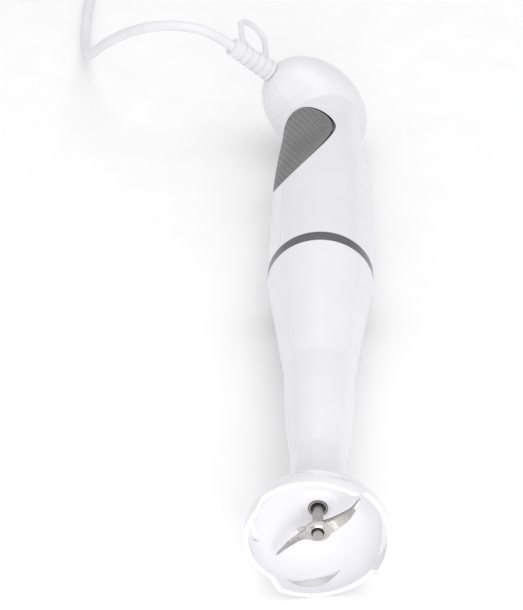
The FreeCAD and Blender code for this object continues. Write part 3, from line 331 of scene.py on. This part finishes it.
NODE_LOOKS = {
    "white": ["blade_guard", "arm_shell"],
    "shell": ["handle_shell_left", "handle_shell_right"],
    "cord": ["strain_relief", "plug_body", "supply_lead"],
    "ring": ["trim_ring"],
    "stainless": ["drive_shaft"],
    "steel": ["handle_screws", "trigger_pin", "trigger_spring", "clamp_screws", "motor_can", "motor_shaft",
              "armature_core", "shaft_tube"],
    "bronze": ["lower_bush", "upper_bush", "motor_bearings", "brush_springs"],
    "copper": ["armature_windings", "commutator"],
    "pins": ["plug_pins"],
    "magnet": ["field_magnets", "carbon_brushes", "rectifier"],
    "dark": ["arm_bulkhead", "motor_end_cap", "motor_coupling", "shaft_coupling", "power_switch",
             "switch_plunger", "switch_bracket", "trigger_lever", "cord_clamp"],
    "lip": ["shaft_seal"],
    "seal": ["lower_motor_mount", "upper_motor_mount"],
    "board": ["circuit_board"],
    "film": ["suppression_capacitor"],
}


def paint(thing, look):
    """Gives a piece one material from the table."""
    thing.data.materials.clear()
    thing.data.materials.append(MATERIALS[look])


for look, names in NODE_LOOKS.items():
    for name in names:
        paint(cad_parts[name], look)


# ---------------------------------------------------------------- meshes

def close_rings(mesh, rings):
    """Joins closed rings of corners, each to the next and the last to the first."""
    for near, far in zip(rings, rings[1:] + rings[:1]):
        join_rings(mesh, near, far)


def join_rings(mesh, near, far):
    """A band of four-sided faces between two closed rings of corners, returned in order."""
    faces = []
    for side in range(len(near)):
        other = (side + 1) % len(near)
        faces.append(mesh.faces.new((near[side], near[other], far[other], far[side])))
    return faces


def finish_mesh(name, mesh, look, body, place):
    """Turns a bmesh into a smooth piece that rides on a body."""
    data = bpy.data.meshes.new(name)
    bmesh.ops.transform(mesh, matrix=place, verts=mesh.verts)
    bmesh.ops.recalc_face_normals(mesh, faces=mesh.faces)
    mesh.to_mesh(data)
    mesh.free()
    piece = bpy.data.objects.new(name, data)
    bpy.context.scene.collection.objects.link(piece)
    data.shade_smooth()
    paint(piece, look)
    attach(piece, body)
    return piece


# ---------------------------------------------------------------- lead

CORD_ROUTE = (
    (-39.5, 160.2, 65.4),
    (-49.0, 158.9, 73.4),
    (-62.1, 157.7, 77.8),
    (-77.0, 159.7, 77.0),
    (-91.2, 166.7, 69.8),
    (-103.4, 178.6, 57.5),
    (-112.4, 194.6, 43.0),
    (-118.6, 213.1, 28.0),
    (-123.0, 233.6, 14.8),
    (-126.4, 256.1, 5.6),
    (-129.0, 279.6, 2.8),
    (-130.2, 303.6, 2.8),
    (-129.6, 327.1, 2.8),
    (-129.4, 349.1, 2.8),
)
CORD_WIDE = 5.5
LYING = 2.8                 # height of the lead's middle where it lies on the table
COIL_MIDDLE = 30.0
COIL_TURNS = 5
CLIMB_DIP = 2.4             # how far the climbing turn runs inside the others
COIL_GROW = 1.006           # the spline runs a little inside its points
POINTS_A_TURN = 24
PLUG_TURN = 20.0
PLUG_RUN = ((6, 8.0), (13, 7.0), (20, 6.8))     # how far past the coil, and how high


def coil_points():
    """Two turns inwards on the floor, one that climbs, and two outwards on top of them, in millimetres."""
    centre = middle("cord_coil") / MM
    outer = COIL_MIDDLE + CORD_WIDE
    inner = COIL_MIDDLE - CORD_WIDE
    points = []
    last = COIL_TURNS - PLUG_TURN / 360
    for step in range(int(last * POINTS_A_TURN) + 1):
        turn = step / POINTS_A_TURN
        if turn <= 2:
            radius = outer - CORD_WIDE * turn
            lift = 0
        elif turn <= 3:
            radius = inner - CLIMB_DIP * math.sqrt(math.sin(math.pi * (turn - 2)))
            lift = CORD_WIDE * (turn - 2)
        else:
            radius = inner + CORD_WIDE * (turn - 3)
            lift = CORD_WIDE
        angle = 2 * math.pi * turn
        reach = radius * COIL_GROW
        points.append((centre.x + reach * math.cos(angle), centre.y + reach * math.sin(angle), LYING + lift))
    return points


def plug_end():
    """The last of the lead, from the coil into the plug's sleeve, in millimetres."""
    heading = math.radians(PLUG_TURN)
    along = Vector((math.sin(heading), math.cos(heading), 0))
    side = Vector((math.cos(heading), -math.sin(heading), 0))
    centre = middle("cord_coil") / MM
    leave = Vector((centre.x, centre.y, 0)) + side * (COIL_MIDDLE + CORD_WIDE)
    return [tuple(leave + along * far + Vector((0, 0, height))) for far, height in PLUG_RUN]


def make_cord():
    """The whole lead as one round curve, from the strain relief through the coil to the plug."""
    curve = bpy.data.curves.new("supply_cord", "CURVE")
    curve.dimensions = "3D"
    curve.bevel_depth = CORD_WIDE / 2 * MM
    curve.bevel_resolution = 5
    curve.resolution_u = 6
    curve.use_fill_caps = True
    points = [*CORD_ROUTE, *coil_points(), *plug_end()]
    spline = curve.splines.new("NURBS")
    spline.points.add(len(points) - 1)
    for point, place in zip(spline.points, points):
        point.co = (*[value * MM for value in place], 1)
    spline.order_u = 3
    spline.use_endpoint_u = True
    cord = bpy.data.objects.new("supply_cord", curve)
    bpy.context.scene.collection.objects.link(cord)
    paint(cord, "cord")
    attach(cord, HOUSING)
    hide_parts("cord_tube", "cord_coil")
    return cord


TIE_ANGLE = 205.0           # where round the coil it sits, degrees
TIE_WIDE = 6.0
TIE_THICK = 0.8
TIE_GAP = 0.35
TIE_LOW, TIE_HIGH = 0.1, 11.4
TIE_CORNER = 2.6
TIE_CHAMFER = 0.3
ABOVE_TABLE = 0.02          # how low the tie may reach


def make_tie():
    """A flat band that holds the coil's turns together."""
    centre = middle("cord_coil")
    inner = COIL_MIDDLE - 1.5 * CORD_WIDE - TIE_GAP
    outer = COIL_MIDDLE + 1.5 * CORD_WIDE + TIE_GAP
    low, high, corner = TIE_LOW, TIE_HIGH, TIE_CORNER
    outline = []
    for x, z, start in ((outer, high, 0), (inner, high, 90), (inner, low, 180), (outer, low, 270)):
        inset_x = x - corner if x == outer else x + corner
        inset_z = z - corner if z == high else z + corner
        for step in range(5):
            turn = math.radians(start + 22.5 * step)
            outline.append((inset_x + corner * math.cos(turn), inset_z + corner * math.sin(turn),
                            math.cos(turn), math.sin(turn)))
    mesh = bmesh.new()
    rows = []
    half, flat = TIE_WIDE / 2, TIE_WIDE / 2 - TIE_CHAMFER
    for x, z, out_x, out_z in outline:
        row = []
        for grow, across in ((0, -half), (TIE_THICK, -flat), (TIE_THICK, flat), (0, half)):
            height = max(z + out_z * grow, ABOVE_TABLE)
            row.append(mesh.verts.new(Vector((x + out_x * grow, across, height)) * MM))
        rows.append(row)
    close_rings(mesh, rows)
    place = Matrix.Translation((centre.x, centre.y, 0)) @ Matrix.Rotation(math.radians(TIE_ANGLE), 4, "Z")
    return finish_mesh("coil_tie", mesh, "cord", HOUSING, place)


# ---------------------------------------------------------------- blade

BLADE_TURN = 95.0           # one cutting edge, degrees from the front
BLADE_THICK = 0.9
BEVEL_WIDE = 1.2
EDGE_WIDE = 0.28            # the dark line along the cutting edge, part of the bevel
EDGE_FLAT = 0.12            # width of the small flats at a wing's corners
WING_STEPS = 4
# Along one wing: distance from the axis, then side and height of the cutting edge and of the back.
WING = (
    (2.6, -3.0, 8.45, 4.4, 8.45),
    (4.4, -3.0, 8.5, 4.7, 8.42),
    (5.8, -2.0, 9.0, 4.9, 8.3),
    (7.2, -0.9, 9.65, 4.95, 8.15),
    (8.6, -0.1, 10.05, 4.95, 8.15),
    (10.6, 0.45, 10.15, 5.05, 8.15),
    (13.0, 0.95, 10.13, 5.0, 8.05),
    (15.4, 1.38, 10.05, 4.6, 8.15),
    (17.8, 1.6, 9.98, 3.95, 8.65),
    (20.0, 1.45, 10.25, 3.3, 9.4),
    (22.0, 1.2, 10.6, 2.6, 10.2),
    (23.4, 1.12, 10.8, 1.7, 10.75),
    (24.0, 1.1, 10.9, 1.25, 10.9),
)
# Corners of the tab, beside the second wing, and (radius, height) corners of what is turned.
TAB_CORNERS = ((1.9, 5.5), (5.9, 5.0), (5.5, 7.0), (3.6, 6.35))
TAB_HEIGHTS = (7.5, 8.6)
HUB = ((1.36, 7.4), (4.4, 7.4), (5.3, 7.6), (5.65, 7.95), (5.65, 8.3), (5.4, 8.55), (1.36, 8.6))
COLLAR = ((2.72, 7.45), (2.72, 7.0), (2.9, 6.85), (3.2, 6.9), (4.0, 7.45))


def between(rows, steps):
    """Rows of numbers with smooth Catmull-Rom rows added between them."""
    made = []
    for index in range(len(rows) - 1):
        before = rows[max(index - 1, 0)]
        start, end = rows[index], rows[index + 1]
        after = rows[min(index + 2, len(rows) - 1)]
        for step in range(steps):
            t = step / steps
            made.append([0.5 * (2 * b + (c - a) * t + (2 * a - 5 * b + 4 * c - d) * t * t
                                + (3 * b - a - 3 * c + d) * t ** 3)
                         for a, b, c, d in zip(before, start, end, after)])
    made.append(list(rows[-1]))
    return made


def add_wing(mesh, turn):
    """One twisted wing, bevelled along its cutting edge and squared along its back."""
    spin = Matrix.Rotation(math.radians(turn), 3, "Z")
    ground = mesh.faces.layers.float["ground"]
    rings = []
    for reach, edge_y, edge_z, back_y, back_z in between(WING, WING_STEPS):
        edge, back = Vector((reach, edge_y, edge_z)), Vector((reach, back_y, back_z))
        across = back - edge
        wide = across.length
        across.normalize()
        down = Vector((0, across.z, -across.y))
        down = down if down.z < 0 else -down
        bevel = min(BEVEL_WIDE, wide * 0.45)
        thick = min(BLADE_THICK, wide * 0.6)
        lip = min(EDGE_WIDE / bevel, 0.4)
        top, foot = edge + down * EDGE_FLAT, edge + across * bevel + down * thick
        section = (edge, top, top.lerp(foot, lip), foot,
                   back + down * thick - across * EDGE_FLAT, back + down * (thick - EDGE_FLAT), back)
        rings.append([mesh.verts.new(spin @ point * MM) for point in section])
    for near, far in zip(rings, rings[1:]):
        faces = join_rings(mesh, near, far)
        faces[1][ground] = ON_EDGE
        faces[2][ground] = ON_BEVEL
    mesh.faces.new(rings[0])
    mesh.faces.new(list(reversed(rings[-1])))


def add_lathe(mesh, outline, steps=64):
    """A ring or disc turned about the design's axis from (radius, height) corners."""
    rows = []
    for step in range(steps):
        angle = 2 * math.pi * step / steps
        corners = [(radius * math.cos(angle), radius * math.sin(angle), height) for radius, height in outline]
        rows.append([mesh.verts.new(Vector(corner) * MM) for corner in corners])
    close_rings(mesh, rows)


def add_tab(mesh):
    """The small pointed tab that stands out of the hub beside one wing."""
    spin = Matrix.Rotation(math.radians(BLADE_TURN + 180), 3, "Z")
    bottom, top = [[mesh.verts.new(spin @ Vector((x, y, height)) * MM) for x, y in TAB_CORNERS]
                   for height in TAB_HEIGHTS]
    mesh.faces.new(bottom)
    mesh.faces.new(list(reversed(top)))
    join_rings(mesh, bottom, top)


def make_blade():
    """Two twisted wings on a round hub, with the raised collar that the shaft is riveted through."""
    mesh = bmesh.new()
    mesh.faces.layers.float.new("ground")
    add_wing(mesh, BLADE_TURN)
    add_wing(mesh, BLADE_TURN + 180)
    add_tab(mesh)
    add_lathe(mesh, HUB)
    add_lathe(mesh, COLLAR)
    piece = finish_mesh("blade_forged", mesh, "blade", ROTOR, LAID_MATRIX)
    piece.data.set_sharp_from_angle(angle=math.radians(24))
    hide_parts("blade")


# ---------------------------------------------------------------- trigger skin

PAD_MIDDLE = 305.0          # height of the egg's widest place, then its reach above, below and aside
PAD_RISE = 30.5
PAD_DROP = 42.1
PAD_WIDE = 20.7
PAD_INSET_HIGH = 0.9985     # the skin's share of the CAD outline's height, and of its width
PAD_INSET_WIDE = 0.995
SKIN_THICK = 1.26
SKIN_ROWS, SKIN_COLUMNS = 190, 116
LOOK_FROM = 60              # how far in front of the axis a look at the surface starts
LOOK_NEAR = 20              # about where the surface is, for a look that misses it
EDGE_ROUND = 0.35           # how far the skin's edge is rounded down, and over what width
EDGE_REACH = 0.7
ROW_STEP = 3.3
DIMPLE_STEP = 2.9
DIMPLE_RADIUS = 0.95
DIMPLE_DEPTH = 0.42
DIMPLE_ROOM = 1.2           # no dimples nearer the edge than this, and full ones a fade further in
DIMPLE_FADE = 0.6


def dimple_at(y, z, radius):
    """How deep a dimple is at a place on the trigger, from 0 to 1."""
    row = math.floor(z / ROW_STEP)
    across = radius * math.asin(max(-1, min(1, y / radius))) / DIMPLE_STEP + 0.5 * (row % 2)
    side = (across - math.floor(across) - 0.5) * DIMPLE_STEP
    up = (z / ROW_STEP - row - 0.5) * ROW_STEP
    share = math.hypot(side, up) / DIMPLE_RADIUS
    return 0.0 if share >= 1 else (1 - share * share) ** 1.5


def edge_room(y, z):
    """Roughly how far a place lies inside the egg's edge, in millimetres."""
    tall = PAD_RISE if z > PAD_MIDDLE else PAD_DROP
    share = math.hypot((z - PAD_MIDDLE) / tall, y / PAD_WIDE)
    slope = math.hypot((z - PAD_MIDDLE) / tall ** 2, y / PAD_WIDE ** 2)
    return (1 - share) * share / max(slope, 0.01)


def surface_at(tree, back, y, z):
    """Where the CAD skin's outer surface is, straight in from the front, in the upright design."""
    look = (back.to_3x3() @ Vector((-1, 0, 0))).normalized()
    hit = tree.ray_cast(back @ (Vector((LOOK_FROM, y, z)) * MM), look)[0]
    if hit is None:
        hit = tree.find_nearest(back @ (Vector((LOOK_NEAR, y, z)) * MM))[0]
    return back.inverted() @ hit / MM


def skin_places():
    """Rows of outer places, inner places and dimple depths over the whole egg."""
    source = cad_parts["trigger_pad"]
    tree = BVHTree.FromObject(source, bpy.context.evaluated_depsgraph_get())
    back = source.matrix_world.inverted() @ LAID_MATRIX
    for row in range(SKIN_ROWS + 1):
        tall = PAD_RISE if row > SKIN_ROWS / 2 else PAD_DROP
        z = PAD_MIDDLE + tall * math.sin(math.pi * (row / SKIN_ROWS - 0.5)) * PAD_INSET_HIGH
        wide = PAD_WIDE * math.sqrt(1 - ((z - PAD_MIDDLE) / tall) ** 2) * PAD_INSET_WIDE
        made = []
        for column in range(SKIN_COLUMNS + 1):
            y = wide * math.sin(math.pi * (column / SKIN_COLUMNS - 0.5))
            place = surface_at(tree, back, y, z)
            out = Vector((place.x, place.y, 0)).normalized()
            room = edge_room(y, z)
            fade = max(0, min(1, (room - DIMPLE_ROOM) / DIMPLE_FADE))
            dent = dimple_at(y, z, math.hypot(place.x, place.y)) * fade
            rounding = EDGE_ROUND * max(0, 1 - room / EDGE_REACH) ** 2
            outer = (place - out * (dent * DIMPLE_DEPTH + rounding)) * MM
            made.append((outer, (place - out * SKIN_THICK) * MM, dent))
        yield made


def make_skin():
    """The egg-shaped skin as a closed shell: the CAD's own outer surface, with dimples pressed into it."""
    mesh = bmesh.new()
    places = list(skin_places())
    outer = [[mesh.verts.new(place[0]) for place in row] for row in places]
    inner = [[mesh.verts.new(place[1]) for place in row] for row in places]
    depths = [place[2] for row in places for place in row]
    depths += [0.0] * len(depths)
    rows, columns = SKIN_ROWS, SKIN_COLUMNS
    for row in range(rows):
        for column in range(columns):
            mesh.faces.new((outer[row][column], outer[row][column + 1],
                            outer[row + 1][column + 1], outer[row + 1][column]))
            mesh.faces.new((inner[row][column], inner[row + 1][column],
                            inner[row + 1][column + 1], inner[row][column + 1]))
    border = ([(0, column) for column in range(columns)]
              + [(row, columns) for row in range(rows)]
              + [(rows, column) for column in range(columns, 0, -1)]
              + [(row, 0) for row in range(rows, 0, -1)])
    for (row, column), (row2, column2) in zip(border, border[1:] + border[:1]):
        mesh.faces.new((outer[row][column], inner[row][column],
                        inner[row2][column2], outer[row2][column2]))
    piece = finish_mesh("trigger_skin", mesh, "grip", TRIGGER, LAID_MATRIX)
    layer = piece.data.attributes.new("dimple", "FLOAT", "POINT")
    layer.data.foreach_set("value", depths)
    piece.data.set_sharp_from_angle(angle=math.radians(60))
    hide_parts("trigger_pad")


make_blade()
make_skin()
cord = make_cord()
tie = make_tie()


# ---------------------------------------------------------------- floor and light

FLOOR_REACH = 8


def make_floor():
    """A plain pale floor."""
    mesh = bmesh.new()
    bmesh.ops.create_grid(mesh, x_segments=1, y_segments=1, size=FLOOR_REACH)
    data = bpy.data.meshes.new("floor")
    mesh.to_mesh(data)
    mesh.free()
    floor = bpy.data.objects.new("floor", data)
    bpy.context.scene.collection.objects.link(floor)
    data.materials.append(plastic("floor_paper", (0.92, 0.92, 0.92), (0.9, 0.9, 0.9), 0.85))


def soft_light(name, place, aim, size, power):
    """A rectangular light at a place, turned towards a point."""
    data = bpy.data.lights.new(name, "AREA")
    data.shape = "RECTANGLE"
    data.size, data.size_y = size
    data.energy = power
    light = bpy.data.objects.new(name, data)
    bpy.context.scene.collection.objects.link(light)
    light.location = place
    light.rotation_euler = (Vector(aim) - Vector(place)).to_track_quat("-Z", "Y").to_euler()


def make_light():
    """An even white surround, with soft lights from above, from the front and from the left."""
    world = bpy.data.worlds.new("studio")
    world.use_nodes = True
    background = world.node_tree.nodes["Background"]
    background.inputs["Color"].default_value = (1, 1, 1, 1)
    background.inputs["Strength"].default_value = 0.75
    bpy.context.scene.world = world
    soft_light("overhead", (0.2, 0.3, 1.7), (0, 0, 0), (1.8, 1.2), 8.5)
    soft_light("front", (0.3, -1.6, 0.8), (0, -0.1, 0.03), (1.1, 0.7), 4)
    soft_light("bell", (0.1, -0.78, 0.26), (0.01, -0.19, 0.03), (0.6, 0.36), 2.5)
    soft_light("left", (-1.4, -0.3, 0.9), (0, 0, 0), (0.9, 1.1), 1.6)


make_floor()
make_light()
bpy.context.scene.view_settings.view_transform = "Standard"
